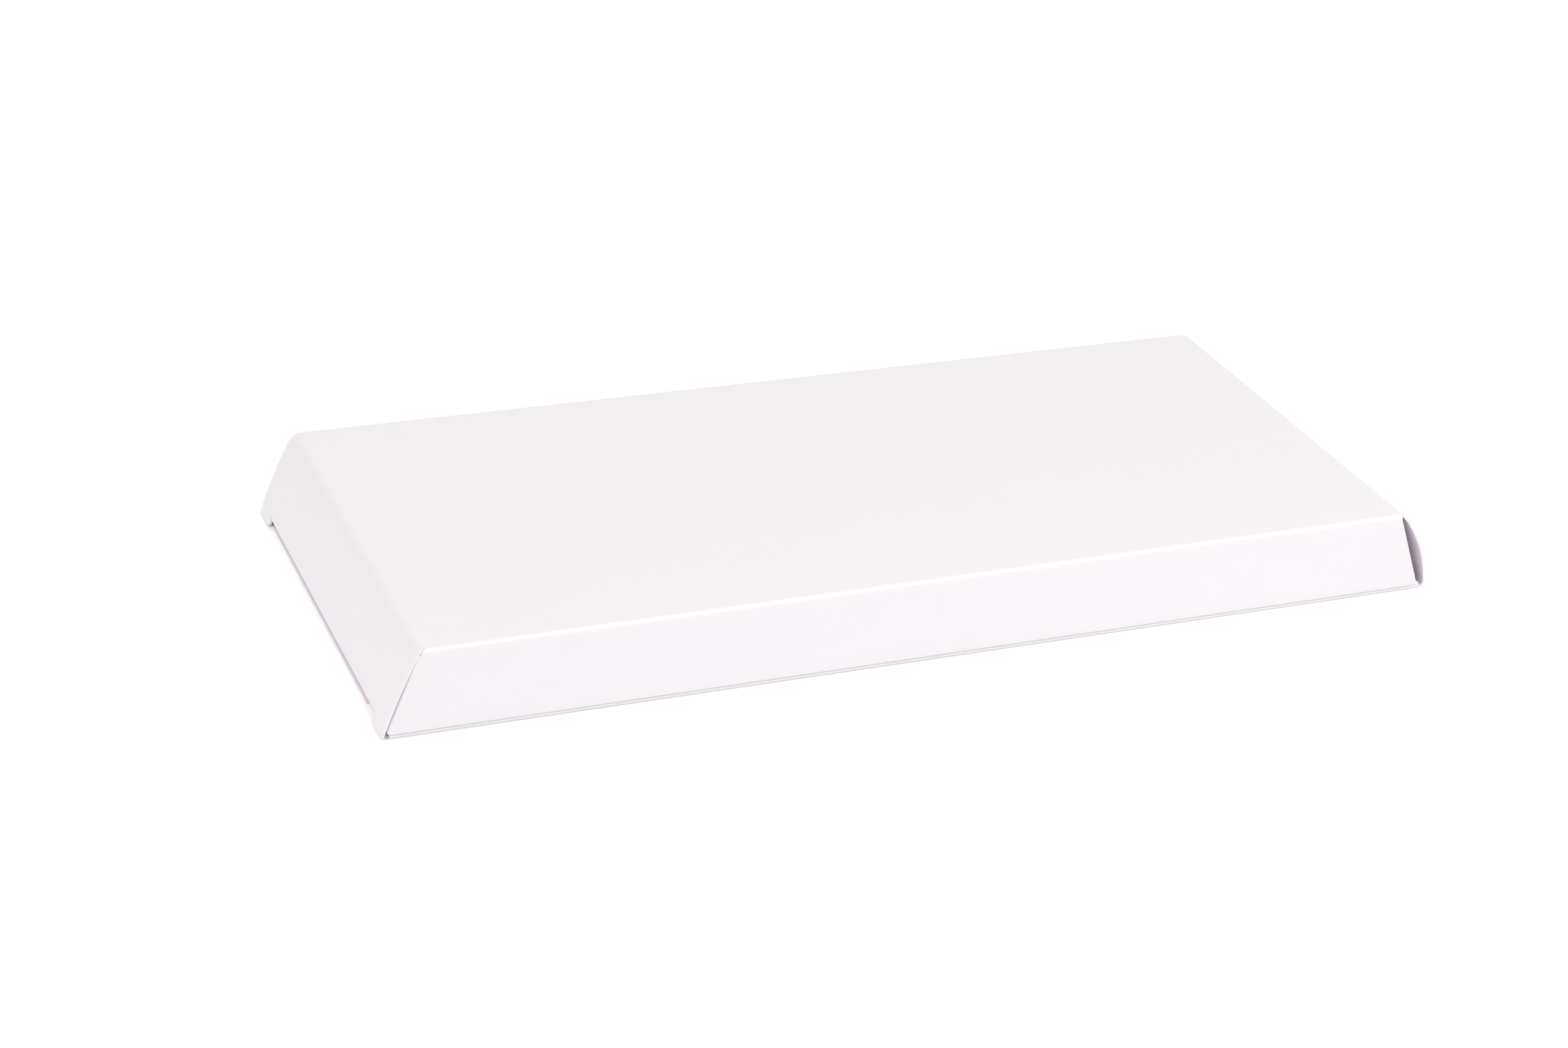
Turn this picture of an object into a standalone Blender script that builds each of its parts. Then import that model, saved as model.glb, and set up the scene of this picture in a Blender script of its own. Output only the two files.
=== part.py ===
"""A folding carton for a chocolate bar, in metres, +Z up.

The carton is one die-cut sheet of white board, creased and glued into a flat tube. Each stretch of board
between creases is an object of its own. X runs along the bar, Y from the front panel to the rear one, and the
origin is at the middle of the underside. Each end is closed by a bulging end panel that hangs from the top
panel, with a tuck flap folded in under it and a dust flap on each side panel behind it.
"""

import math

import bmesh
import bpy
from mathutils import Matrix, Vector

# Board and fits
BOARD = 0.0004
GAP = 0.0003
SLIT_WIDTH = 0.0004

# Sleeve: the top panel's length is taken between its end creases
TOP_LENGTH = 0.162
WIDTH = 0.075
HEIGHT = 0.014
TOP_CREASE_RADIUS = 0.0008
FOOT_CREASE_RADIUS = 0.0005
SIDE_REACH = 0.0054
SIDE_SHIFTS = {"left": 0.0003, "right": -0.0005}
FOLD_END_SHIFT = -0.0005
FRONT_EDGE_HEIGHT = 0.0006
FRONT_CORNER_RADIUS = 0.0004
RELIEF_WIDTH = 0.011
RELIEF_DEPTH = 0.0005
GLUE_FLAP_HEIGHT = 0.0095
GLUE_FLAP_SETBACK = 0.0015
GLUE_FLAP_TAPER = 0.006

# End panels: the reach is how far the foot stands out past the top panel, over the board's outer face
END_REACH = 0.0065
END_INSET = 0.0005
END_CORNER_INSET = 0.0005
END_CORNER_RUN = 0.0026
END_BULGES = {"left": 0.0011, "right": 0.0012}
EAR_LIFT = 0.0001
EAR_RADIUS = 0.0015
FRONT_EAR_LENGTH = 0.007
REAR_EAR_LENGTH = 0.0056
FOLD_RADIUS = 0.0009

# Tuck flaps, folded in from the foot of each end panel
TUCK_LENGTH = 0.0095
TUCK_CORNER_RADIUS = 0.004
TUCK_SIDE_CLEARANCE = 0.001
TUCK_RISE = math.radians(15)

# Dust flaps, folded in from the side panels' ends: their tapers are shares of the flap's height at its crease,
# and the radius of their corners is a share of the height at the tip
DUST_LENGTH = 0.014
DUST_TOP_DROP = 0.0034
DUST_BOTTOM_LIFT = 0.003
DUST_TOP_TAPER_SHARE = 0.54
DUST_BOTTOM_TAPER_SHARE = 0.16
DUST_CORNER_SHARE = 0.5

# Points nearer than this are one point
MERGE_DISTANCE = 0.000004

# Facets of the round stretches
CORNER_STEPS = 5
CREASE_STEPS = 6
BULGE_STEPS = 10
FOLD_STEPS = 8

# Coated board outside, and the duller uncoated board of the flaps that are folded in
COATED = {"color": (0.86, 0.83, 0.85), "roughness": 0.38}
UNCOATED = {"color": (0.80, 0.78, 0.78), "roughness": 0.75}

SIDES = {"left": -1, "right": 1}
WALLS = {"front": -1, "rear": 1}

# Middles of the board's thickness
TOP_Z = HEIGHT - BOARD / 2
WALL_Y = WIDTH / 2 - BOARD / 2
GLUE_FLAP_Y = WALL_Y - BOARD - GAP
HINGE_START = BOARD / 2 + GAP


def side_end_x(side, z):
    """Distance from the box's middle to the side panels' slanted ends at this height."""
    return TOP_LENGTH / 2 + SIDE_SHIFTS[side] + SIDE_REACH * (HEIGHT - z) / HEIGHT


def foot_end_x():
    """Distance from the box's middle to the ends of the folds at the walls' feet."""
    return TOP_LENGTH / 2 + FOLD_END_SHIFT + SIDE_REACH


def side_slant():
    return math.atan2(SIDE_REACH, HEIGHT)


def clear_scene():
    for thing in list(bpy.data.objects):
        bpy.data.objects.remove(thing, do_unlink=True)


def new_collection(name):
    collection = bpy.data.collections.new(name)
    bpy.context.scene.collection.children.link(collection)
    return collection


def board_material(name, look):
    """White carton board. Each piece has a material of its own."""
    material = bpy.data.materials.new(name + "_board")
    material.use_nodes = True
    shader = material.node_tree.nodes["Principled BSDF"]
    shader.inputs["Base Color"].default_value = (*look["color"], 1)
    shader.inputs["Roughness"].default_value = look["roughness"]
    shader.inputs["Metallic"].default_value = 0
    material.diffuse_color = (*look["color"], 1)
    return material


def placed(origin, along, up):
    """The matrix of a flat piece whose own X runs along, and whose own Y runs up."""
    along = Vector(along).normalized()
    up = Vector(up).normalized()
    normal = along.cross(up)
    turn = Matrix((along, up, normal)).transposed()
    return Matrix.Translation(origin) @ turn.to_4x4()


def rounded(corners):
    """An outline from (x, y, radius) corners, each rounded by an arc of its radius."""
    outline = []
    for i, (x, y, radius) in enumerate(corners):
        here = Vector((x, y))
        if radius == 0:
            outline.append(here)
            continue
        before = (Vector(corners[i - 1][:2]) - here).normalized()
        after = (Vector(corners[(i + 1) % len(corners)][:2]) - here).normalized()
        half = before.angle(after) / 2
        centre = here + (before + after).normalized() * radius / math.sin(half)
        start = here + before * radius / math.tan(half) - centre
        end = here + after * radius / math.tan(half) - centre
        sweep = start.angle_signed(end)
        for step in range(CORNER_STEPS + 1):
            turned = start.copy()
            turned.rotate(Matrix.Rotation(-sweep * step / CORNER_STEPS, 2))
            outline.append(centre + turned)
    return outline


def flat_curve(name, outline, thickness):
    """A filled outline in its own XY plane, half its thickness to each side."""
    curve = bpy.data.curves.new(name, "CURVE")
    curve.dimensions = "2D"
    curve.fill_mode = "BOTH"
    curve.extrude = thickness / 2
    spline = curve.splines.new("POLY")
    spline.points.add(len(outline) - 1)
    for point, (x, y) in zip(spline.points, outline):
        point.co = (x, y, 0, 1)
    spline.use_cyclic_u = True
    return bpy.data.objects.new(name, curve)


def flat_board(name, outline, place, look):
    """A panel or flap that is flat all over."""
    piece = flat_curve(name, outline, BOARD)
    piece.matrix_world = place
    piece.data.materials.append(board_material(name, look))
    PARTS.objects.link(piece)
    return piece


def bent_board(name, outline, bend_lines, bend, origin, look):
    """A panel whose flat outline is cut at its bend lines, bent by a function of its points, and thickened."""
    sheet = flat_curve(name + "_flat", outline, 0)
    PARTS.objects.link(sheet)
    bpy.context.view_layer.update()
    flat = sheet.evaluated_get(bpy.context.evaluated_depsgraph_get())
    mesh = bpy.data.meshes.new_from_object(flat)
    bpy.data.objects.remove(sheet)
    mesh.name = name

    shape = bmesh.new()
    shape.from_mesh(mesh)
    bmesh.ops.remove_doubles(shape, verts=shape.verts, dist=MERGE_DISTANCE)
    bmesh.ops.dissolve_faces(shape, faces=shape.faces)
    for line in bend_lines:
        everything = [*shape.verts, *shape.edges, *shape.faces]
        bmesh.ops.bisect_plane(shape, geom=everything, plane_co=(0, line, 0), plane_no=(0, 1, 0))
    for vertex in shape.verts:
        vertex.co = Vector(bend(vertex.co.x, vertex.co.y)) - Vector(origin)
    shape.to_mesh(mesh)
    shape.free()

    mesh.materials.clear()
    mesh.materials.append(board_material(name, look))
    piece = bpy.data.objects.new(name, mesh)
    piece.location = origin
    PARTS.objects.link(piece)
    thicken = piece.modifiers.new("board", "SOLIDIFY")
    thicken.thickness = BOARD
    thicken.offset = 0
    thicken.use_even_offset = True
    return piece


def hang_on(piece, carrier):
    """Parents a piece to what carries it, and leaves it where it is."""
    bpy.context.view_layer.update()
    piece.parent = carrier
    piece.matrix_parent_inverse = carrier.matrix_world.inverted()


def top_panel():
    """The top, with the rounded creases that start its side walls."""
    radius = TOP_CREASE_RADIUS - BOARD / 2
    flat = WALL_Y - radius
    quarter = radius * math.pi / 2

    def bend(x, across):
        if abs(across) < flat:
            return x, across, TOP_Z
        angle = (abs(across) - flat) / radius
        y = math.copysign(flat + radius * math.sin(angle), across)
        return x, y, TOP_Z - radius + radius * math.cos(angle)

    lines = []
    for step in range(CREASE_STEPS):
        line = flat + quarter * step / CREASE_STEPS
        lines += [line, -line]
    end = TOP_LENGTH / 2
    outline = []
    for side, walk in (("right", 1), ("left", -1)):
        edge = side_end_x(side, HEIGHT - TOP_CREASE_RADIUS)
        corners = [(edge, -flat - quarter), (end, -flat), (end, flat), (edge, flat + quarter)]
        outline += [(SIDES[side] * x, y) for x, y in corners[::walk]]
    return bent_board("top_panel", outline, lines, bend, (0, 0, TOP_Z), COATED)


def bottom_panel():
    """The bottom: flat, and cut back at the front corners of its ends."""
    front = GAP - GLUE_FLAP_Y + FOOT_CREASE_RADIUS - BOARD / 2
    rear = WALL_Y + BOARD / 2 - FOOT_CREASE_RADIUS - GAP
    relief = RELIEF_WIDTH - WIDTH / 2
    outline = []
    for side, walk in (("right", 1), ("left", -1)):
        end = bottom_end_x(side)
        corners = [(end - RELIEF_DEPTH, front), (end - RELIEF_DEPTH, relief), (end, relief), (end, rear)]
        outline += [(SIDES[side] * x, y) for x, y in corners[::walk]]
    return flat_board("bottom_panel", outline, placed((0, 0, BOARD / 2), (1, 0, 0), (0, 1, 0)), COATED)


def foot_fold(wall, wall_y):
    """The fold at a wall's foot, which turns in to the bottom panel.

    Gives the function that bends the sheet, its bend lines and its lowest point. The sheet's own Y is 0 at the
    top of the fold.
    """
    radius = FOOT_CREASE_RADIUS - BOARD / 2
    quarter = radius * math.pi / 2

    def bend(x, up):
        if up > 0:
            return x, WALLS[wall] * wall_y, FOOT_CREASE_RADIUS + up
        angle = -up / radius
        y = wall_y - radius + radius * math.cos(angle)
        return x, WALLS[wall] * y, FOOT_CREASE_RADIUS - radius * math.sin(angle)

    lines = [-quarter * step / CREASE_STEPS for step in range(CREASE_STEPS)]
    return bend, lines, -quarter


def front_panel():
    """The front wall, the outer layer of the glued seam: a trapezoid whose foot is a cut edge."""
    top = HEIGHT - TOP_CREASE_RADIUS - GAP
    foot = FRONT_EDGE_HEIGHT
    corners = [
        (-side_end_x("left", foot), foot, FRONT_CORNER_RADIUS),
        (side_end_x("right", foot), foot, FRONT_CORNER_RADIUS),
        (side_end_x("right", top), top, 0),
        (-side_end_x("left", top), top, 0),
    ]
    place = placed((0, WALLS["front"] * WALL_Y, 0), (1, 0, 0), (0, 0, 1))
    return flat_board("front_panel", rounded(corners), place, COATED)


def rear_panel():
    """The rear wall, with the fold at its foot."""
    bend, lines, lowest = foot_fold("rear", WALL_Y)
    top = HEIGHT - TOP_CREASE_RADIUS - GAP
    rise = top - FOOT_CREASE_RADIUS
    outline = []
    for side, walk in (("left", -1), ("right", 1)):
        wall_end = side_end_x(side, FOOT_CREASE_RADIUS + GAP)
        top_end = side_end_x(side, top)
        corners = [(foot_end_x(), lowest), (foot_end_x(), GAP), (wall_end, GAP), (top_end, rise)]
        outline += [(SIDES[side] * x, y) for x, y in corners[::walk]]
    origin = (0, WALLS["rear"] * WALL_Y, 0)
    return bent_board("rear_panel", outline, lines, bend, origin, COATED)


def glue_flap():
    """The flap that is glued inside the front panel, with the fold at its foot that shows under that panel."""
    bend, lines, lowest = foot_fold("front", GLUE_FLAP_Y)
    fold_end = foot_end_x()
    flap_end = fold_end - GLUE_FLAP_SETBACK
    tip_end = flap_end - GLUE_FLAP_TAPER
    outline = [(-fold_end, lowest), (fold_end, lowest), (fold_end, GAP), (flap_end, GAP)]
    outline += [(tip_end, GLUE_FLAP_HEIGHT), (-tip_end, GLUE_FLAP_HEIGHT), (-flap_end, GAP), (-fold_end, GAP)]
    origin = (0, WALLS["front"] * GLUE_FLAP_Y, 0)
    return bent_board("glue_flap", outline, lines, bend, origin, UNCOATED)


def end_arc(bulge):
    """The end panel's bulging run from its crease down to the ears' tips: its circle, and its two end angles.

    Points are offsets from the crease, outwards and up.
    """
    foot = Vector((END_REACH - BOARD / 2, EAR_LIFT - TOP_Z))
    radius = (foot.length_squared / 4 + bulge**2) / (2 * bulge)
    outward = Vector((-foot.y, foot.x)).normalized()
    centre = foot / 2 + outward * (bulge - radius)
    first = math.atan2(-centre.y, -centre.x)
    last = math.atan2(foot.y - centre.y, foot.x - centre.x)
    return centre, radius, first, last


def on_circle(centre, radius, angle):
    return centre + radius * Vector((math.cos(angle), math.sin(angle)))


def fold_arc(bulge):
    """The soft fold from the end panel's foot in to the tuck flap: its circle, its first angle and its last."""
    centre, radius, _, _ = end_arc(bulge)
    lowest = BOARD + GAP + BOARD / 2
    fold_z = lowest + FOLD_RADIUS - TOP_Z
    reach = math.sqrt((radius - FOLD_RADIUS) ** 2 - (fold_z - centre.y) ** 2)
    middle = Vector((centre.x + reach, fold_z))
    first = math.atan2(middle.y - centre.y, middle.x - centre.x)
    last = -math.pi / 2 - TUCK_RISE
    return middle, FOLD_RADIUS, first, last


def tuck_axis(bulge):
    """Where the tuck flap turns, as an offset from the end panel's crease."""
    middle, radius, _, last = fold_arc(bulge)
    return on_circle(middle, radius, last)


def bottom_end_x(side):
    """The bottom panel ends just short of the ears' inner faces, at the height of its upper face."""
    centre, radius, _, _ = end_arc(END_BULGES[side])
    angle = math.asin((BOARD - TOP_Z - centre.y) / radius)
    ear_x = centre.x + radius * math.cos(angle) - BOARD / 2 / math.cos(angle)
    return TOP_LENGTH / 2 + ear_x - GAP


def end_panel(side):
    """An end panel: bulging, with an ear cut free at each end of its foot and a soft fold between the ears."""
    turn = SIDES[side]
    bulge = END_BULGES[side]
    centre, radius, first, last = end_arc(bulge)
    middle, fold_radius, fold_first, fold_last = fold_arc(bulge)
    crease_x = turn * TOP_LENGTH / 2

    fold_line = radius * (first - fold_first)
    ear_line = radius * (first - last)
    fold_end = fold_line + fold_radius * (fold_first - fold_last)
    edge = WIDTH / 2 - END_INSET
    front_ear = FRONT_EAR_LENGTH - edge
    rear_ear = edge - REAR_EAR_LENGTH

    def bend(y, down):
        if down > fold_line and front_ear + SLIT_WIDTH / 2 < y < rear_ear - SLIT_WIDTH / 2:
            offset = on_circle(middle, fold_radius, fold_first - (down - fold_line) / fold_radius)
        else:
            offset = on_circle(centre, radius, first - down / radius)
        return crease_x + turn * offset.x, y, TOP_Z + offset.y

    hinge_edge = edge - END_CORNER_INSET
    corners = [
        (-hinge_edge, HINGE_START, 0),
        (-edge, END_CORNER_RUN, 0),
        (-edge, ear_line, EAR_RADIUS),
        (front_ear, ear_line, EAR_RADIUS),
        (front_ear, fold_line, 0),
        (front_ear + SLIT_WIDTH, fold_line, 0),
        (front_ear + SLIT_WIDTH, fold_end, 0),
        (rear_ear - SLIT_WIDTH, fold_end, 0),
        (rear_ear - SLIT_WIDTH, fold_line, 0),
        (rear_ear, fold_line, 0),
        (rear_ear, ear_line, EAR_RADIUS),
        (edge, ear_line, EAR_RADIUS),
        (edge, END_CORNER_RUN, 0),
        (hinge_edge, HINGE_START, 0),
    ]
    run = fold_line - HINGE_START
    lines = [HINGE_START + run * step / BULGE_STEPS for step in range(1, BULGE_STEPS + 1)]
    turned = fold_end - fold_line
    lines += [fold_line + turned * step / FOLD_STEPS for step in range(1, FOLD_STEPS)]
    return bent_board(side + "_end_panel", rounded(corners), lines, bend, (crease_x, 0, TOP_Z), COATED)


def tuck_flap(side):
    """The flap folded in from the end panel's foot, over the bottom panel."""
    turn = SIDES[side]
    axis = tuck_axis(END_BULGES[side])
    origin = (turn * (TOP_LENGTH / 2 + axis.x), 0, TOP_Z + axis.y)
    inward = (-turn * math.cos(TUCK_RISE), 0, math.sin(TUCK_RISE))
    place = placed(origin, inward, (0, 1, 0))
    front = TUCK_SIDE_CLEARANCE - GLUE_FLAP_Y + BOARD / 2
    rear = WALL_Y - BOARD / 2 - TUCK_SIDE_CLEARANCE
    corners = [
        (HINGE_START, front, 0),
        (TUCK_LENGTH, front, TUCK_CORNER_RADIUS),
        (TUCK_LENGTH, rear, TUCK_CORNER_RADIUS),
        (HINGE_START, rear, 0),
    ]
    return flat_board(side + "_tuck_flap", rounded(corners), place, UNCOATED)


def dust_flap(side, wall):
    """The tapered flap folded in from a side panel's slanted end, behind the end panel."""
    turn = SIDES[side]
    slant = side_slant()
    inward = (0, -WALLS[wall], 0)
    up = (-turn * math.sin(slant), 0, math.cos(slant))
    place = placed((turn * side_end_x(side, 0), WALLS[wall] * WALL_Y, 0), inward, up)
    top = (HEIGHT - DUST_TOP_DROP) / math.cos(slant)
    foot = DUST_BOTTOM_LIFT / math.cos(slant)
    tip_top = top - (top - foot) * DUST_TOP_TAPER_SHARE
    tip_foot = foot + (top - foot) * DUST_BOTTOM_TAPER_SHARE
    radius = (tip_top - tip_foot) * DUST_CORNER_SHARE
    corners = [
        (HINGE_START, foot, 0),
        (DUST_LENGTH, tip_foot, radius),
        (DUST_LENGTH, tip_top, radius),
        (HINGE_START, top, 0),
    ]
    return flat_board(f"{side}_{wall}_dust_flap", rounded(corners), place, UNCOATED)


def build():
    top = top_panel()
    bottom = bottom_panel()
    walls = {"front": front_panel(), "rear": rear_panel()}
    flap = glue_flap()
    hang_on(bottom, top)
    hang_on(flap, bottom)
    for wall in WALLS:
        hang_on(walls[wall], top)
    for side in SIDES:
        closure = end_panel(side)
        hang_on(closure, top)
        hang_on(tuck_flap(side), closure)
        for wall in WALLS:
            hang_on(dust_flap(side, wall), walls[wall])


clear_scene()
PARTS = new_collection("chocolate_bar_box")
build()
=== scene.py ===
"""The looks of a folding carton for a chocolate bar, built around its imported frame, in metres.

Every panel and flap is a stretch of one sheet of board. Each is drawn flat, cut into small facets, bent along the
sheet's own creases and given the board's thickness, with its coated side out.
"""

import math
from functools import lru_cache

import bmesh
import bpy
from mathutils import Matrix, Vector

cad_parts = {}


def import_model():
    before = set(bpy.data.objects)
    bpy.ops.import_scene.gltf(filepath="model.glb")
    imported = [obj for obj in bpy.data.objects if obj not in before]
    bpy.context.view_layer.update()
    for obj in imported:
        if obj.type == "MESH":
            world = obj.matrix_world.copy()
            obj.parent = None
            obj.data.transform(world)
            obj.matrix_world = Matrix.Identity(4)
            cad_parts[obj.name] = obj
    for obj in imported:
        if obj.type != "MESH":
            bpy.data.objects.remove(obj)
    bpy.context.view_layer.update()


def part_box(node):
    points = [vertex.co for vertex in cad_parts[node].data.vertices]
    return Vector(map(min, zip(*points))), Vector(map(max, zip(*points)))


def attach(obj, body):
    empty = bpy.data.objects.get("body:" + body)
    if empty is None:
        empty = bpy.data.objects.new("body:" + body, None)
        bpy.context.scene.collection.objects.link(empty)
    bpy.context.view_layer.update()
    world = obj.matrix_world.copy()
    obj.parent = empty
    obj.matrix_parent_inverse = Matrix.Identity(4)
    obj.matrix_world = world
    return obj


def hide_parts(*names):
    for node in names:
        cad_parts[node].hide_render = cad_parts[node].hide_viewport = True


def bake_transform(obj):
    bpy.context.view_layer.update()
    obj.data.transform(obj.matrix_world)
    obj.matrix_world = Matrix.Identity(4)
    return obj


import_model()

SIDES = {"left": -1, "right": 1}
WALLS = {"front": -1, "rear": 1}
QUARTER = math.pi / 2

# Board
BOARD = 0.0004
HALF = BOARD / 2
EDGE_WEAR = 0.00004
SLIT_WIDTH = 0.00015

# Facets
CREASE_STEPS = 10
CORNER_STEPS = 7
PANEL_STEP = 0.0012
LONG_STEP = 0.006
LENGTH_STEPS = 24
WALL_STEPS = 4
MERGE_DISTANCE = 0.000003
SHARP_ANGLE = math.radians(30)

# Flat run kept beside a crease, so that shading meets at the borders of two pieces
TAIL = 0.00015
SUPPORT = 0.00012

# How near a point counts as lying on a straight border, and on a slanted one
ON_BORDER = 0.000001
ON_SLANT = 0.000002

# Sleeve, from the frame where it gives the size
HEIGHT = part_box("top_panel")[1].z
CREASE_X = 0.081
WALL_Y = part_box("rear_panel")[1].y - HALF
TOP_Z = HEIGHT - HALF
SIDE_SHIFTS = {"left": 0.0003, "right": -0.0005}
SIDE_REACH = 0.0054
SLANT = math.atan2(SIDE_REACH, HEIGHT)
FOOT_END_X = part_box("glue_flap")[1].x
BEAD_OVERHANG = 0.0003
BEAD_END_X = FOOT_END_X + BEAD_OVERHANG
FRONT_EDGE_HEIGHT = 0.00085
SEAM_Y = WALL_Y - BOARD
BEAD_BULGE = 0.00028
BEAD_RISE = 0.00035
BEAD_STEPS = 3

# Top panel: its crease, the slit at each end of it, and how far its corners hang below where the crease starts
TOP_CREASE = 0.0006
TOP_FLAT = WALL_Y - TOP_CREASE
WALL_TOP = TOP_Z - TOP_CREASE - TAIL
NOTCH_GAP = 0.00005
NOTCH_Y = TOP_FLAT - NOTCH_GAP
CORNER_DROP = 0.0002
CORNER_MIDDLE_DROP = 0.00045

# Creases at the foot of the sleeve
FOOT_CREASE = 0.0003
FOOT_ARC = FOOT_CREASE * QUARTER
FOOT_TOP = HALF + FOOT_CREASE
FOOT_LOWEST = FOOT_TOP - FOOT_ARC - TAIL

# Rear panel, glue flap and bottom panel
REAR_FIRST_LINE = 0.002
GLUE_FLAP_HEIGHT = 0.0095
GLUE_FLAP_SETBACK = 0.0015
GLUE_FLAP_TAPER = 0.006
GLUE_FLAP_LINES = (0.003, 0.006)
RELIEF_WIDTH = 0.011
RELIEF_DEPTH = 0.0005
BOTTOM_LINES_Y = 0.03
BOTTOM_STEPS = 6

# End panels
END_EDGE = 0.0372
END_EDGE_AT_CREASE = 0.03708
END_EDGE_START = 0.00005
END_EDGE_STRAIGHT = 0.0006
END_EDGE_WIDE = 0.0012
END_LINES_X = 0.036
END_STEPS_ACROSS = 12
EAR_TIP = Vector((0.0063, -0.0137))
EAR_RADIUS = 0.0012
EAR_CORNER_RADII = {"left": 0.0002, "right": 0.0013}
FRONT_EAR_LENGTH = 0.0053
REAR_EAR_LENGTH = 0.0056
FRONT_SLIT = FRONT_EAR_LENGTH - END_EDGE
REAR_SLIT = END_EDGE - REAR_EAR_LENGTH
END_CREASE = 0.00015
END_CREASE_START = 0.0006
SHOULDER_RUN = 0.0016
SHOULDER_STEPS = 7
BOW_STEPS = 9
FOLD_RADIUS = 0.0009
FOLD_Z = 0.0018

# How steep an end panel is in degrees, just past its crease and past its shoulder, at its front edge and its rear one
SLOPES = {"left": ((24, 65), (21, 62)), "right": ((33, 51.7), (31, 54))}

# Solving an end panel's bow: a first guess at how much steeper it ends and how long it is, the nudges that show how
# the ears' tips move, the rounds of solving, and the digits that the place across the panel is rounded to
FIRST_BOW = 0.1
FIRST_LENGTH = 0.0125
BOW_NUDGE = 0.0001
LENGTH_NUDGE = 0.000001
BOW_ROUNDS = 12
FOLD_ROUNDS = 40
ACROSS_DIGITS = 7

# Tuck flaps
TUCK_RISE = math.radians(15)
TUCK_LENGTH = 0.0095
TUCK_CORNER = 0.004
TUCK_NECK = 0.0003
TUCK_FOLD_STEPS = 14
TUCK_LINES_X = (-0.03, 0.031)
TUCK_STEPS_ACROSS = 10
TUCK_STEPS = 6
TUCK_BLEND = 0.0006

# Dust flaps
DUST_CREASES = {"left": 0.00045, "right": 0.00012}
DUST_CREASE_START = 0.0014
DUST_SPREADS = {"left": math.radians(0.5), "right": math.radians(4)}
DUST_LENGTH = 0.014
DUST_TOP = 0.0106
DUST_FOOT = 0.003
DUST_TIP_TOP = 0.0065
DUST_TIP_FOOT = 0.0042
DUST_TIP_RADIUS = 0.0012
DUST_SHOULDER = 0.002
DUST_NECK = 0.0004
DUST_NECK_RISE = 0.0005
DUST_NECK_DROP = 0.0002
DUST_ROOT = 0.0001
DUST_FIRST_LINE = 0.0004
DUST_LINES_TO = 0.012
DUST_STEPS = 5


# Shapes


def side_end_x(side, z):
    """Distance from the middle to the side walls' slanted ends at this height."""
    return CREASE_X + SIDE_SHIFTS[side] + SIDE_REACH * (HEIGHT - z) / HEIGHT


def eased(share):
    """A share from 0 to 1 that starts and ends gently."""
    return share * share * (3 - 2 * share)


def follow(runs, distance):
    """Where a path gets to that goes straight and round arcs: how far on, how far down, and how far turned."""
    on = down = turned = 0.0
    left = distance
    for length, turn in runs:
        step = min(left, length)
        if turn and step > 0:
            rate = turn / length
            new = turned + rate * step
            on += (math.sin(new) - math.sin(turned)) / rate
            down += (math.cos(turned) - math.cos(new)) / rate
            turned = new
        else:
            on += step * math.cos(turned)
            down += step * math.sin(turned)
        left -= step
        if left <= 0:
            return on, down, turned
    on += left * math.cos(turned)
    down += left * math.sin(turned)
    return on, down, turned


def steps(first, last, count):
    """Evenly spaced values from first to last, both ends included."""
    return [first + (last - first) * i / count for i in range(count + 1)]


def crease_lines(start, length, count=CREASE_STEPS):
    """Cuts across a crease, with a supporting cut just outside each end of it."""
    return [start - SUPPORT, *steps(start, start + length, count), start + length + SUPPORT]


def rounded(corners):
    """An outline from (x, y, radius) corners, each rounded by an arc of its radius."""
    outline = []
    for i, (x, y, radius) in enumerate(corners):
        here = Vector((x, y))
        if radius == 0:
            outline.append(here)
            continue
        before = (Vector(corners[i - 1][:2]) - here).normalized()
        after = (Vector(corners[(i + 1) % len(corners)][:2]) - here).normalized()
        half = before.angle(after) / 2
        centre = here + (before + after).normalized() * radius / math.sin(half)
        start = here + before * radius / math.tan(half) - centre
        end = here + after * radius / math.tan(half) - centre
        sweep = start.angle_signed(end)
        for step in range(CORNER_STEPS + 1):
            turned = start.copy()
            turned.rotate(Matrix.Rotation(-sweep * step / CORNER_STEPS, 2))
            outline.append(centre + turned)
    return outline


def pushed(before, here, after, free_before, free_after, distance):
    """How far a border point moves when its free edges move out by a distance and its joined edges stay."""
    nearly_straight = 0.02
    one = (here - before).normalized()
    two = (after - here).normalized()
    normals = [Vector((one.y, -one.x)), Vector((two.y, -two.x))]
    moves = [distance * free_before, distance * free_after]
    cross = normals[0].x * normals[1].y - normals[0].y * normals[1].x
    if abs(cross) < nearly_straight:
        return normals[0] * min(moves)
    x = (moves[0] * normals[1].y - moves[1] * normals[0].y) / cross
    y = (normals[0].x * moves[1] - normals[1].x * moves[0]) / cross
    return Vector((x, y))


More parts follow.
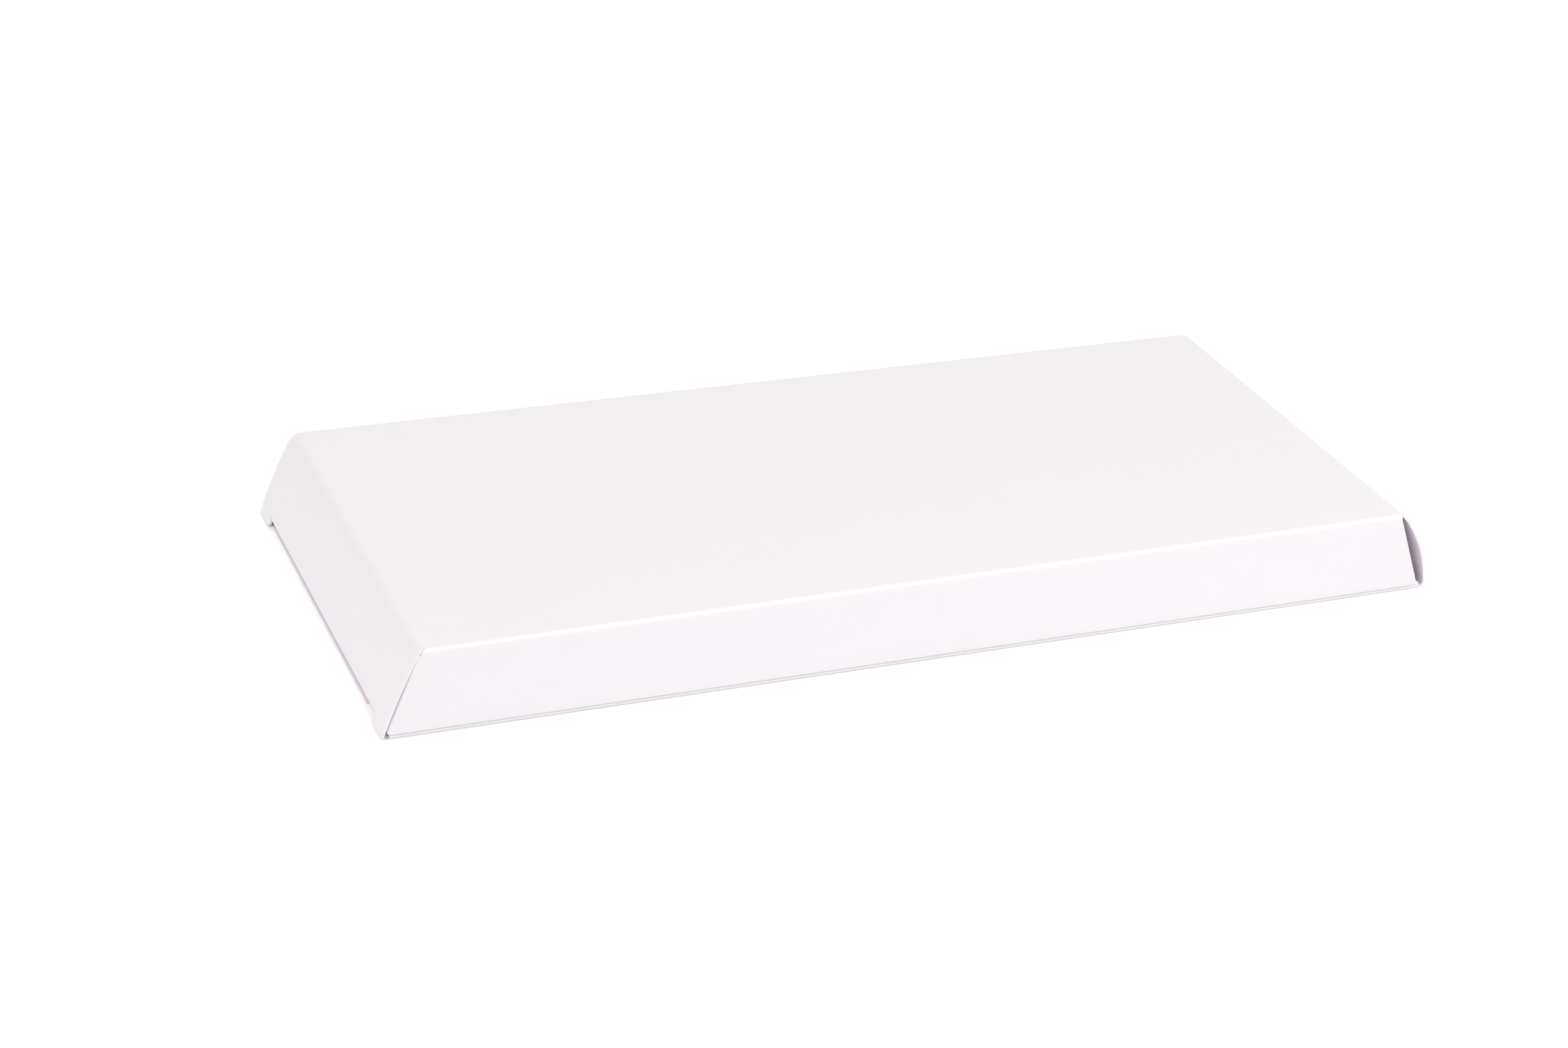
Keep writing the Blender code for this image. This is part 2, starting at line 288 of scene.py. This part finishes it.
def flat_cut(outline, joined, lines_x, lines_y):
    """The flat sheet, drawn in by the wear of its free edges and cut along its lines: its points, its facets, and for
    each point of its border the next one round."""
    count = len(outline)
    area = sum(outline[i - 1].x * outline[i].y - outline[i].x * outline[i - 1].y for i in range(count))
    if area < 0:
        outline = outline[::-1]
    free = [not joined((outline[i] + outline[(i + 1) % count]) / 2) for i in range(count)]
    inner = []
    for i in range(count):
        before, here, after = outline[i - 1], outline[i], outline[(i + 1) % count]
        inner.append(here + pushed(before, here, after, free[i - 1], free[i], -EDGE_WEAR))

    sheet = bmesh.new()
    sheet.faces.new([sheet.verts.new((p.x, p.y, 0)) for p in inner])
    for values, normal in ((lines_x, (1, 0, 0)), (lines_y, (0, 1, 0))):
        for value in values:
            everything = [*sheet.verts, *sheet.edges, *sheet.faces]
            place = (value * normal[0], value * normal[1], 0)
            bmesh.ops.bisect_plane(sheet, geom=everything, plane_co=place, plane_no=normal, dist=MERGE_DISTANCE)
    bmesh.ops.remove_doubles(sheet, verts=sheet.verts, dist=MERGE_DISTANCE)
    sheet.normal_update()
    sheet.verts.index_update()

    points = [Vector(v.co[:2]) for v in sheet.verts]
    facets = [[v.index for v in f.verts] for f in sheet.faces]
    following = {}
    for edge in sheet.edges:
        if len(edge.link_loops) == 1:
            loop = edge.link_loops[0]
            following[loop.vert.index] = loop.link_loop_next.vert.index
    sheet.free()
    return points, facets, following


def thickened(points, facets, following, shape, joined):
    """The bent board's points, and its faces, each with the look that it has."""
    placed = [shape(p.x, p.y) for p in points]
    verts = [middle + normal * HALF for middle, normal in placed]
    verts += [middle - normal * HALF for middle, normal in placed]
    count = len(points)
    leading = {after: here for here, after in following.items()}
    rim = {}
    for here, after in following.items():
        before = leading[here]
        free_before = not joined((points[before] + points[here]) / 2)
        free_after = not joined((points[here] + points[after]) / 2)
        out = pushed(points[before], points[here], points[after], free_before, free_after, EDGE_WEAR)
        if out.length < EDGE_WEAR / 10:
            rim[here] = (here, here + count)
            continue
        middle, normal = shape(*(points[here] + out))
        rim[here] = (len(verts), len(verts) + 1)
        verts.append(middle + normal * (HALF - EDGE_WEAR))
        verts.append(middle - normal * (HALF - EDGE_WEAR))

    shell = [(facet, OUTSIDE) for facet in facets]
    shell += [([i + count for i in reversed(facet)], INSIDE) for facet in facets]
    for one, two in following.items():
        upper = [two, one, rim[one][0], rim[two][0]]
        cut = [rim[two][0], rim[one][0], rim[one][1], rim[two][1]]
        lower = [rim[two][1], rim[one][1], one + count, two + count]
        for face, look in ((upper, OUTSIDE), (cut, CUT_EDGE), (lower, INSIDE)):
            corners = [c for i, c in enumerate(face) if c != face[i - 1]]
            if len(corners) > 2:
                shell.append((corners, look))
    return verts, shell


def new_object(name, data):
    """An object of this data, put in the scene."""
    thing = bpy.data.objects.new(name, data)
    bpy.context.scene.collection.objects.link(thing)
    return thing


def board(name, outline, lines_x, lines_y, shape, joined):
    """A piece of board. shape gives the middle of the board and its outward normal for a point of the flat sheet,
    and joined says which stretches of the outline run on into a neighbouring piece."""
    points, facets, following = flat_cut([Vector(p[:2]) for p in outline], joined, lines_x, lines_y)
    verts, shell = thickened(points, facets, following, shape, joined)
    mesh = bpy.data.meshes.new(name)
    mesh.from_pydata(verts, [], [face for face, look in shell])
    outward = shape(*points[facets[0][0]])[1]
    if mesh.polygons[0].normal.dot(outward) < 0:
        mesh.flip_normals()
    for polygon, (face, look) in zip(mesh.polygons, shell):
        polygon.material_index = look
        polygon.use_smooth = True
    mesh.set_sharp_from_angle(angle=SHARP_ANGLE)
    for look in LOOKS:
        mesh.materials.append(look)
    return new_object(name, mesh)


# Materials

MOTTLE_SCALE = 180.0
GRAIN_SCALE = 2600.0
WAVE_SCALE = 45.0
ROUGHNESS_SPREAD = 0.05
GRAIN_STRENGTH = 0.25
WAVE_STRENGTH = 0.2
WAVE_HEIGHT = 0.0002

# Sockets of a mix node that mixes colours
MIX_FACTOR = 0
MIX_FIRST = 6
MIX_SECOND = 7
MIX_RESULT = 2


class Nodes:
    """Short ways to add and join the nodes of a material."""

    def __init__(self, name):
        self.material = bpy.data.materials.new(name)
        self.material.use_nodes = True
        self.tree = self.material.node_tree
        self.shader = self.tree.nodes["Principled BSDF"]

    def add(self, kind, **values):
        node = self.tree.nodes.new(kind)
        for key, value in values.items():
            if hasattr(node, key):
                setattr(node, key, value)
            else:
                node.inputs[key.replace("_", " ")].default_value = value
        return node

    def join(self, source, target):
        self.tree.links.new(source, target)


def board_look(name, color, shade, roughness, fibre):
    """A board surface: faint mottling, a fine grain in the relief, and a roughness that varies a little."""
    make = Nodes(name)
    place = make.add("ShaderNodeTexCoord")
    mottle = make.add("ShaderNodeTexNoise", Scale=MOTTLE_SCALE, Detail=4.0, Roughness=0.6)
    grain = make.add("ShaderNodeTexNoise", Scale=GRAIN_SCALE, Detail=3.0, Roughness=0.6)
    wave = make.add("ShaderNodeTexNoise", Scale=WAVE_SCALE, Detail=2.0)
    for node in (mottle, grain, wave):
        make.join(place.outputs["Object"], node.inputs["Vector"])
    colors = make.add("ShaderNodeMix", data_type="RGBA")
    colors.inputs[MIX_FIRST].default_value = (*color, 1)
    colors.inputs[MIX_SECOND].default_value = (*shade, 1)
    make.join(mottle.outputs["Fac"], colors.inputs[MIX_FACTOR])
    make.join(colors.outputs[MIX_RESULT], make.shader.inputs["Base Color"])
    rough = make.add("ShaderNodeMapRange", To_Min=roughness - ROUGHNESS_SPREAD, To_Max=roughness + ROUGHNESS_SPREAD)
    make.join(mottle.outputs["Fac"], rough.inputs["Value"])
    make.join(rough.outputs["Result"], make.shader.inputs["Roughness"])
    relief = make.add("ShaderNodeBump", Strength=GRAIN_STRENGTH, Distance=fibre)
    make.join(grain.outputs["Fac"], relief.inputs["Height"])
    waves = make.add("ShaderNodeBump", Strength=WAVE_STRENGTH, Distance=WAVE_HEIGHT)
    make.join(wave.outputs["Fac"], waves.inputs["Height"])
    make.join(relief.outputs["Normal"], waves.inputs["Normal"])
    make.join(waves.outputs["Normal"], make.shader.inputs["Normal"])
    return make.material


# Name, the two colours that it mottles between, roughness, and height of its grain
LOOKS = (
    board_look("coated_board", (0.878, 0.848, 0.873), (0.860, 0.830, 0.855), 0.38, 0.00001),
    board_look("uncoated_board", (0.95, 0.88, 0.95), (0.93, 0.855, 0.93), 0.75, 0.00003),
    board_look("board_cut_edge", (0.90, 0.865, 0.885), (0.86, 0.82, 0.845), 0.8, 0.00004),
)
OUTSIDE, INSIDE, CUT_EDGE = range(len(LOOKS))


def finish(piece, slot, *nodes):
    """Hides the frame's nodes that a piece stands for. The slot, what the piece is made of, is not used."""
    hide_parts(*nodes)


# Sleeve

LINES_ALONG = steps(-CREASE_X, CREASE_X, LENGTH_STEPS)
FOOT_LINES = crease_lines(FOOT_TOP - FOOT_ARC, FOOT_ARC)


def top_panel():
    arc = TOP_CREASE * QUARTER
    last = TOP_FLAT + arc + TAIL
    lip = CREASE_X - END_CREASE_START

    def shape(x, across):
        side = math.copysign(1, across)
        on, down, turned = follow([(TOP_FLAT, 0), (arc, QUARTER)], abs(across))
        return Vector((x, side * on, TOP_Z - down)), Vector((0, side * math.sin(turned), math.cos(turned)))

    outline = []
    for side, walk in (("right", 1), ("left", -1)):
        foot = side_end_x(side, WALL_TOP)
        corners = [(foot, -last), ((CREASE_X + foot) / 2, -TOP_FLAT - CORNER_MIDDLE_DROP)]
        corners += [(CREASE_X, -TOP_FLAT - CORNER_DROP), (CREASE_X, -TOP_FLAT), (lip, -NOTCH_Y)]
        corners += [(x, -y) for x, y in reversed(corners)]
        outline += [(SIDES[side] * x, y) for x, y in corners[::walk]]

    def joined(p):
        return abs(abs(p.y) - last) < ON_BORDER or (abs(abs(p.x) - lip) < ON_BORDER and abs(p.y) < NOTCH_Y)

    half_lines = crease_lines(TOP_FLAT, arc) + steps(LONG_STEP, TOP_FLAT - LONG_STEP, WALL_STEPS)
    lines_y = [0] + [side * line for line in half_lines for side in (1, -1)]
    lines_x = steps(-lip + LONG_STEP, lip - LONG_STEP, LENGTH_STEPS)
    piece = board("top_panel_board", outline, lines_x, lines_y, shape, joined)
    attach(piece, "sleeve")
    finish(piece, "coated_board", "top_panel")


def wall_shape(wall, wall_y, bulge=0.0):
    """Bends a wall whose flat sheet has x along the box and y up it. Below the wall is its foot crease, which may
    stand a little further out than the wall."""
    side = WALLS[wall]

    def shape(x, up):
        if up >= FOOT_TOP:
            out = wall_y + bulge * eased(max(0.0, 1 - (up - FOOT_TOP) / BEAD_RISE))
            return Vector((x, side * out, up)), Vector((0, side, 0))
        on, down, turned = follow([(FOOT_ARC, QUARTER)], FOOT_TOP - up)
        middle = Vector((x, side * (wall_y + bulge - down), FOOT_TOP - on))
        return middle, Vector((0, side * math.cos(turned), -math.sin(turned)))

    return shape


def wall_end(side, z):
    """Where a wall hands over to the crease of its dust flap."""
    return SIDES[side] * (side_end_x(side, z) - DUST_CREASE_START / math.cos(SLANT))


def on_wall_border(p):
    side = "left" if p.x < 0 else "right"
    return abs(p.y - WALL_TOP) < ON_BORDER or abs(p.x - wall_end(side, p.y)) < ON_SLANT


def front_panel():
    ends = (("left", FRONT_EDGE_HEIGHT), ("right", FRONT_EDGE_HEIGHT), ("right", WALL_TOP), ("left", WALL_TOP))
    outline = [(wall_end(side, z), z) for side, z in ends]
    lines_y = steps(FRONT_EDGE_HEIGHT, WALL_TOP, WALL_STEPS)[1:-1]
    piece = board("front_panel_board", outline, LINES_ALONG, lines_y, wall_shape("front", WALL_Y), on_wall_border)
    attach(piece, "sleeve")
    finish(piece, "coated_board", "front_panel")


def rear_panel():
    outline = []
    for side, walk in (("left", -1), ("right", 1)):
        foot_end = SIDES[side] * FOOT_END_X
        corners = [(foot_end, FOOT_LOWEST), (foot_end, FOOT_TOP)]
        corners += [(wall_end(side, FOOT_TOP), FOOT_TOP), (wall_end(side, WALL_TOP), WALL_TOP)]
        outline += corners[::walk]

    def joined(p):
        return abs(p.y - FOOT_LOWEST) < ON_BORDER or (p.y > FOOT_TOP and on_wall_border(p))

    lines_y = FOOT_LINES + steps(REAR_FIRST_LINE, WALL_TOP, WALL_STEPS)[:-1]
    piece = board("rear_panel_board", outline, LINES_ALONG, lines_y, wall_shape("rear", WALL_Y), joined)
    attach(piece, "sleeve")
    finish(piece, "coated_board", "rear_panel")


def glue_flap():
    shoulder = FRONT_EDGE_HEIGHT + HALF
    flap_end = BEAD_END_X - GLUE_FLAP_SETBACK
    tip_end = flap_end - GLUE_FLAP_TAPER
    tip = GLUE_FLAP_HEIGHT + FOOT_TOP
    half = [(BEAD_END_X, shoulder), (flap_end, shoulder), (tip_end, tip)]
    outline = [(-BEAD_END_X, FOOT_LOWEST), (BEAD_END_X, FOOT_LOWEST), *half]
    outline += [(-x, y) for x, y in reversed(half)]

    def joined(p):
        return abs(p.y - FOOT_LOWEST) < ON_BORDER

    lines_y = [*FOOT_LINES, *GLUE_FLAP_LINES, *steps(FOOT_TOP + BEAD_RISE / 4, FOOT_TOP + BEAD_RISE, BEAD_STEPS)]
    piece = board("glue_flap_board", outline, LINES_ALONG, lines_y, wall_shape("front", SEAM_Y, BEAD_BULGE), joined)
    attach(piece, "sleeve")
    finish(piece, "coated_board", "glue_flap")


def bottom_panel():
    front = SEAM_Y + BEAD_BULGE - FOOT_CREASE - TAIL
    rear = WALL_Y - FOOT_CREASE - TAIL
    relief = RELIEF_WIDTH - WALL_Y - HALF
    outline = []
    low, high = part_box("bottom_panel")
    for end, walk in ((high.x, 1), (low.x, -1)):
        back = end - math.copysign(RELIEF_DEPTH, end)
        bead = math.copysign(BEAD_END_X, end)
        fold = math.copysign(FOOT_END_X, end)
        corners = [(bead, -front), (back, -front), (back, relief), (end, relief), (end, rear), (fold, rear)]
        outline += corners[::walk]

    def shape(x, y):
        return Vector((x, y, HALF)), Vector((0, 0, -1))

    def joined(p):
        on_bead = abs(p.x) < BEAD_END_X and abs(p.y + front) < ON_BORDER
        return on_bead or (abs(p.x) < FOOT_END_X and abs(p.y - rear) < ON_BORDER)

    lines_y = steps(-BOTTOM_LINES_Y, BOTTOM_LINES_Y, BOTTOM_STEPS)
    piece = board("bottom_panel_board", outline, LINES_ALONG, lines_y, shape, joined)
    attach(piece, "sleeve")
    finish(piece, "coated_board", "bottom_panel")


# Ends


def panel_runs(slopes, last, length):
    """An end panel's runs from its lip on the top panel: straight, the crease, the shoulder, and a gentle bow."""
    crease, shoulder = slopes
    runs = [(END_CREASE_START - END_CREASE, 0), (2 * END_CREASE, crease), (SHOULDER_RUN, shoulder - crease)]
    return runs + [(length, last - shoulder)]


@lru_cache(maxsize=None)
def closure_runs(side, across):
    """The runs of an end panel from its lip to the ears' tips, the distance at which its foot starts to fold, the
    distance at which its ears end, and how steep it is where it folds. The slopes change from front to rear, and the
    bow is solved so that the tips are in place."""
    share = eased(min(max((across + END_EDGE) / (2 * END_EDGE), 0), 1))
    slopes = [math.radians(a + (b - a) * share) for a, b in zip(*SLOPES[side])]
    start = END_CREASE_START + END_CREASE + SHOULDER_RUN
    goal = EAR_TIP + Vector((END_CREASE_START, 0))

    def miss(last, length):
        on, down, _ = follow(panel_runs(slopes, last, length), start + length)
        return Vector((on, -down)) - goal

    last, length = slopes[1] + FIRST_BOW, FIRST_LENGTH
    for _ in range(BOW_ROUNDS):
        off = miss(last, length)
        by_last = (miss(last + BOW_NUDGE, length) - off) / BOW_NUDGE
        by_length = (miss(last, length + LENGTH_NUDGE) - off) / LENGTH_NUDGE
        cross = by_last.x * by_length.y - by_last.y * by_length.x
        last -= (off.x * by_length.y - off.y * by_length.x) / cross
        length -= (by_last.x * off.y - by_last.y * off.x) / cross

    runs = panel_runs(slopes, last, length)
    near, far = start, start + length
    for _ in range(FOLD_ROUNDS):
        middle = (near + far) / 2
        _, down, turned = follow(runs, middle)
        if TOP_Z - down > FOLD_Z + FOLD_RADIUS * math.cos(turned):
            near = middle
        else:
            far = middle
    steep = slopes[1] + (last - slopes[1]) * (near - start) / length
    return runs, near, start + length, steep


# The flat sheet's folds and ears, drawn from the middle of the left end for both ends
_, NOMINAL_FOLD, NOMINAL_EAR, NOMINAL_STEEP = closure_runs("left", 0.0)
FOLD_LINE = NOMINAL_FOLD - END_CREASE_START - TAIL
EAR_LINE = NOMINAL_EAR - END_CREASE_START
FOLD_RUN = FOLD_RADIUS * (math.pi + TUCK_RISE - NOMINAL_STEEP)


def closure_shape(side, folded):
    """Bends an end panel, or with folded its foot and tuck flap. The flat sheet has x across the box and y down."""
    turn = SIDES[side]

    def shape(across, down):
        runs, fold_at, ear_at, steep = closure_runs(side, round(across, ACROSS_DIGITS))
        line = fold_at - END_CREASE_START - TAIL
        if down <= 0:
            distance = down
        elif down <= FOLD_LINE:
            distance = down * line / FOLD_LINE
        elif folded:
            distance = line + down - FOLD_LINE
        else:
            distance = line + (down - FOLD_LINE) * (ear_at - END_CREASE_START - line) / (EAR_LINE - FOLD_LINE)
        path = runs
        if folded:
            before = fold_at - END_CREASE_START - END_CREASE - SHOULDER_RUN
            length, bow = runs[3]
            fold = math.pi + TUCK_RISE - steep
            path = runs[:3] + [(before, bow * before / length), (FOLD_RADIUS * fold, fold)]
        on, fall, turned = follow(path, END_CREASE_START + distance)
        middle = Vector((turn * (CREASE_X - END_CREASE_START + on), across, TOP_Z - fall))
        return middle, Vector((turn * math.sin(turned), 0, math.cos(turned)))

    return shape


def end_panel(side):
    lip = -END_CREASE_START
    corners = [
        (-NOTCH_Y, lip, 0),
        (-NOTCH_Y, 0, 0),
        (-END_EDGE_AT_CREASE, END_EDGE_START, 0),
        (-END_EDGE_AT_CREASE, END_EDGE_STRAIGHT, 0),
        (-END_EDGE, END_EDGE_WIDE, 0),
        (-END_EDGE, EAR_LINE, EAR_CORNER_RADII[side]),
        (FRONT_SLIT, EAR_LINE, EAR_RADIUS),
        (FRONT_SLIT, FOLD_LINE, 0),
        (REAR_SLIT, FOLD_LINE, 0),
        (REAR_SLIT, EAR_LINE, EAR_RADIUS),
        (END_EDGE, EAR_LINE, EAR_CORNER_RADII[side]),
        (END_EDGE, END_EDGE_WIDE, 0),
        (END_EDGE_AT_CREASE, END_EDGE_STRAIGHT, 0),
        (END_EDGE_AT_CREASE, END_EDGE_START, 0),
        (NOTCH_Y, 0, 0),
        (NOTCH_Y, lip, 0),
    ]

    def joined(p):
        on_fold = abs(p.y - FOLD_LINE) < ON_BORDER and FRONT_SLIT < p.x < REAR_SLIT
        return on_fold or abs(p.y - lip) < ON_BORDER

    shoulder_end = END_CREASE + SHOULDER_RUN
    lines_y = crease_lines(-END_CREASE, 2 * END_CREASE)
    lines_y += steps(END_CREASE + SUPPORT, shoulder_end, SHOULDER_STEPS)[1:]
    lines_y += steps(shoulder_end, FOLD_LINE, BOW_STEPS)[1:] + [FOLD_LINE + PANEL_STEP / 2]
    lines_x = steps(-END_LINES_X, END_LINES_X, END_STEPS_ACROSS)
    piece = board(side + "_end_board", rounded(corners), lines_x, lines_y, closure_shape(side, False), joined)
    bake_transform(piece)
    finish(piece, "coated_board", side + "_end_panel")


def tuck_flap(side):
    low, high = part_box(side + "_tuck_flap")
    arc = FOLD_LINE + TAIL
    arc_end = arc + FOLD_RUN
    shoulder = arc_end + TUCK_NECK
    tip = arc_end + TUCK_LENGTH
    corners = [
        (FRONT_SLIT, FOLD_LINE, 0),
        (FRONT_SLIT + SLIT_WIDTH, arc + TUCK_NECK, 0),
        (FRONT_SLIT + SLIT_WIDTH, shoulder, 0),
        (low.y, shoulder, 0),
        (low.y, tip, TUCK_CORNER),
        (high.y, tip, TUCK_CORNER),
        (high.y, shoulder, 0),
        (REAR_SLIT - SLIT_WIDTH, shoulder, 0),
        (REAR_SLIT - SLIT_WIDTH, arc + TUCK_NECK, 0),
        (REAR_SLIT, FOLD_LINE, 0),
    ]

    def joined(p):
        return abs(p.y - FOLD_LINE) < ON_BORDER

    lines_y = crease_lines(arc, FOLD_RUN, TUCK_FOLD_STEPS)[1:] + steps(arc_end + PANEL_STEP, tip, TUCK_STEPS)[:-1]
    lines_x = steps(*TUCK_LINES_X, TUCK_STEPS_ACROSS)
    shape = closure_shape(side, True)
    piece = board(side + "_tuck_board", rounded(corners), lines_x, lines_y, shape, joined)
    start = shape(0, arc + FOLD_RUN / 2)[0]
    end = shape(0, arc_end + TUCK_BLEND)[0]
    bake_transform(piece)
    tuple(start)
    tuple(end)
    finish(piece, "uncoated_board", side + "_tuck_flap")


def dust_flap(side, wall):
    """A dust flap, with the crease that joins it to the slanted end of its wall."""
    turn = SIDES[side]
    rise = math.cos(SLANT)
    tilt = math.tan(SLANT)
    up = Vector((-turn * math.sin(SLANT), 0, rise))
    out = Vector((turn * rise, 0, math.sin(SLANT)))
    inward = Vector((0, -WALLS[wall], 0))
    corner = Vector((turn * side_end_x(side, 0), WALLS[wall] * WALL_Y, 0))
    spread = DUST_SPREADS[side]
    half = DUST_CREASES[side]
    runs = [(TAIL, 0), (DUST_CREASE_START - half - TAIL, spread), (2 * half, QUARTER - spread)]

    def shape(along, height):
        on, down, turned = follow(runs, DUST_CREASE_START + along)
        middle = corner + up * height + out * (on - DUST_CREASE_START) + inward * down
        return middle, out * math.sin(turned) - inward * math.cos(turned)

    foot = (FRONT_EDGE_HEIGHT if wall == "front" else FOOT_TOP) / rise
    top = WALL_TOP / rise
    start = -DUST_CREASE_START
    corners = [
        (start, foot - start * tilt, 0),
        (DUST_ROOT, foot, DUST_ROOT),
        (DUST_NECK, foot + DUST_NECK_RISE, 0),
        (DUST_SHOULDER, DUST_FOOT / rise, 0),
        (DUST_LENGTH, DUST_TIP_FOOT, DUST_TIP_RADIUS),
        (DUST_LENGTH, DUST_TIP_TOP, DUST_TIP_RADIUS),
        (DUST_SHOULDER, DUST_TOP / rise, 0),
        (DUST_NECK, top - DUST_NECK_DROP, 0),
        (0, top, 0),
        (start, top - start * tilt, 0),
    ]

    def joined(p):
        on_top = p.x < 0 and abs(p.y - top + p.x * tilt) < ON_SLANT
        return abs(p.x - start) < ON_BORDER or on_top

    lines_x = [start + TAIL, *steps(start + DUST_FIRST_LINE, -half, WALL_STEPS), *crease_lines(-half, 2 * half)]
    lines_x += steps(DUST_SHOULDER, DUST_LINES_TO, DUST_STEPS)
    lines_y = steps(DUST_FOOT, DUST_LINES_TO, WALL_STEPS)
    name = f"{side}_{wall}_dust"
    piece = board(name + "_board", rounded(corners), lines_x, lines_y, shape, joined)
    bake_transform(piece)
    finish(piece, "uncoated_board", name + "_flap")


# Surroundings: a white floor and world that the camera sees as white, under round soft lamps

AMBIENT = 0.616
FLOOR_REACH = 3.0
FLOOR_DROP = 0.00002
FLOOR_COLOR = (0.95, 0.95, 0.95, 1)
WHITE = (1, 1, 1, 1)

# How strongly the floor shines for the camera, near the box and far from it, and where near and far are
FLOOR_GLOW = (0.2, 0.45)
FLOOR_GLOW_REACH = (0.35, 1.2)

# Name, place, size, power, colour, and whether surfaces mirror it
SOFTBOXES = (
    ("key_softbox", (0.2, -0.33, 0.52), 0.35, 1.18, (1, 1, 1), True),
    ("camera_softbox", (-0.278, -0.606, 0.344), 0.3, 0.26, (1, 1, 1), True),
    ("left_softbox", (-0.6, -0.15, 0.22), 0.4, 0.6, (1, 0.96, 0.97), False),
    ("right_softbox", (0.6, -0.3, 0.15), 0.4, 0.42, (1, 1, 1), False),
    ("top_softbox", (0, 0.05, 0.75), 0.6, 1.02, (1, 1, 1), True),
    ("rear_softbox", (-0.05, 0.55, 0.5), 0.5, 0.048, (1, 1, 1), True),
)

# Camera, with its lens and sensor in millimetres, its place, and the ways that are back and right for it
LENS = 71.56
SENSOR_WIDTH = 36
CLIP_START = 0.01
CAMERA_PLACE = (-0.18826, -0.41043, 0.23308)
CAMERA_BACK = (-0.354, -0.81856, 0.45239)
CAMERA_RIGHT = (0.92763, -0.3689, 0.05839)


def camera():
    data = bpy.data.cameras.new("camera")
    data.lens = LENS
    data.sensor_width = SENSOR_WIDTH
    data.clip_start = CLIP_START
    back = Vector(CAMERA_BACK).normalized()
    up = back.cross(Vector(CAMERA_RIGHT).normalized()).normalized()
    turn = Matrix((up.cross(back), up, back)).transposed()
    thing = new_object("camera", data)
    thing.matrix_world = Matrix.Translation(CAMERA_PLACE) @ turn.to_4x4()
    bpy.context.scene.camera = thing


def floor():
    mesh = bpy.data.meshes.new("floor")
    corners = [(x * FLOOR_REACH, y * FLOOR_REACH, 0) for x, y in ((-1, -1), (1, -1), (1, 1), (-1, 1))]
    mesh.from_pydata(corners, [], [(0, 1, 2, 3)])
    thing = new_object("floor", mesh)
    thing.location.z = -FLOOR_DROP
    make = Nodes("floor")
    make.shader.inputs["Base Color"].default_value = FLOOR_COLOR
    make.shader.inputs["Roughness"].default_value = 1
    make.shader.inputs["Specular IOR Level"].default_value = 0
    make.shader.inputs["Emission Color"].default_value = WHITE
    path = make.add("ShaderNodeLightPath")
    seen = make.add("ShaderNodeMath", operation="MAXIMUM")
    make.join(path.outputs["Is Camera Ray"], seen.inputs[0])
    make.join(path.outputs["Is Glossy Ray"], seen.inputs[1])
    place = make.add("ShaderNodeTexCoord")
    away = make.add("ShaderNodeVectorMath", operation="LENGTH")
    make.join(place.outputs["Object"], away.inputs[0])
    level = make.add("ShaderNodeMapRange", interpolation_type="SMOOTHSTEP")
    make.join(away.outputs["Value"], level.inputs["Value"])
    for end, reach, strength in zip(("Min", "Max"), FLOOR_GLOW_REACH, FLOOR_GLOW):
        level.inputs["From " + end].default_value = reach
        level.inputs["To " + end].default_value = strength
    glow = make.add("ShaderNodeMath", operation="MULTIPLY")
    make.join(seen.outputs[0], glow.inputs[0])
    make.join(level.outputs["Result"], glow.inputs[1])
    make.join(glow.outputs[0], make.shader.inputs["Emission Strength"])
    mesh.materials.append(make.material)


def world():
    surroundings = bpy.data.worlds.new("surroundings")
    surroundings.use_nodes = True
    tree = surroundings.node_tree
    background = tree.nodes["Background"]
    background.inputs["Color"].default_value = WHITE
    path = tree.nodes.new("ShaderNodeLightPath")
    strength = tree.nodes.new("ShaderNodeMapRange")
    strength.inputs["To Min"].default_value = AMBIENT
    strength.inputs["To Max"].default_value = 1
    tree.links.new(path.outputs["Is Camera Ray"], strength.inputs["Value"])
    tree.links.new(strength.outputs["Result"], background.inputs["Strength"])
    bpy.context.scene.world = surroundings


def softbox(name, place, size, power, color, shines):
    """A round lamp aimed at the box. Unless it shines, surfaces don't mirror it, so that they keep their colour."""
    data = bpy.data.lights.new(name, "AREA")
    data.shape = "DISK"
    data.size = size
    data.energy = power
    data.color = color
    thing = new_object(name, data)
    thing.visible_glossy = shines
    thing.location = place
    thing.rotation_euler = Vector(place).to_track_quat("Z", "Y").to_euler()


top_panel()
front_panel()
rear_panel()
glue_flap()
bottom_panel()
for side in SIDES:
    end_panel(side)
    tuck_flap(side)
    for wall in WALLS:
        dust_flap(side, wall)

camera()
floor()
world()
for settings in SOFTBOXES:
    softbox(*settings)

scene = bpy.context.scene
scene.view_settings.view_transform = "Standard"
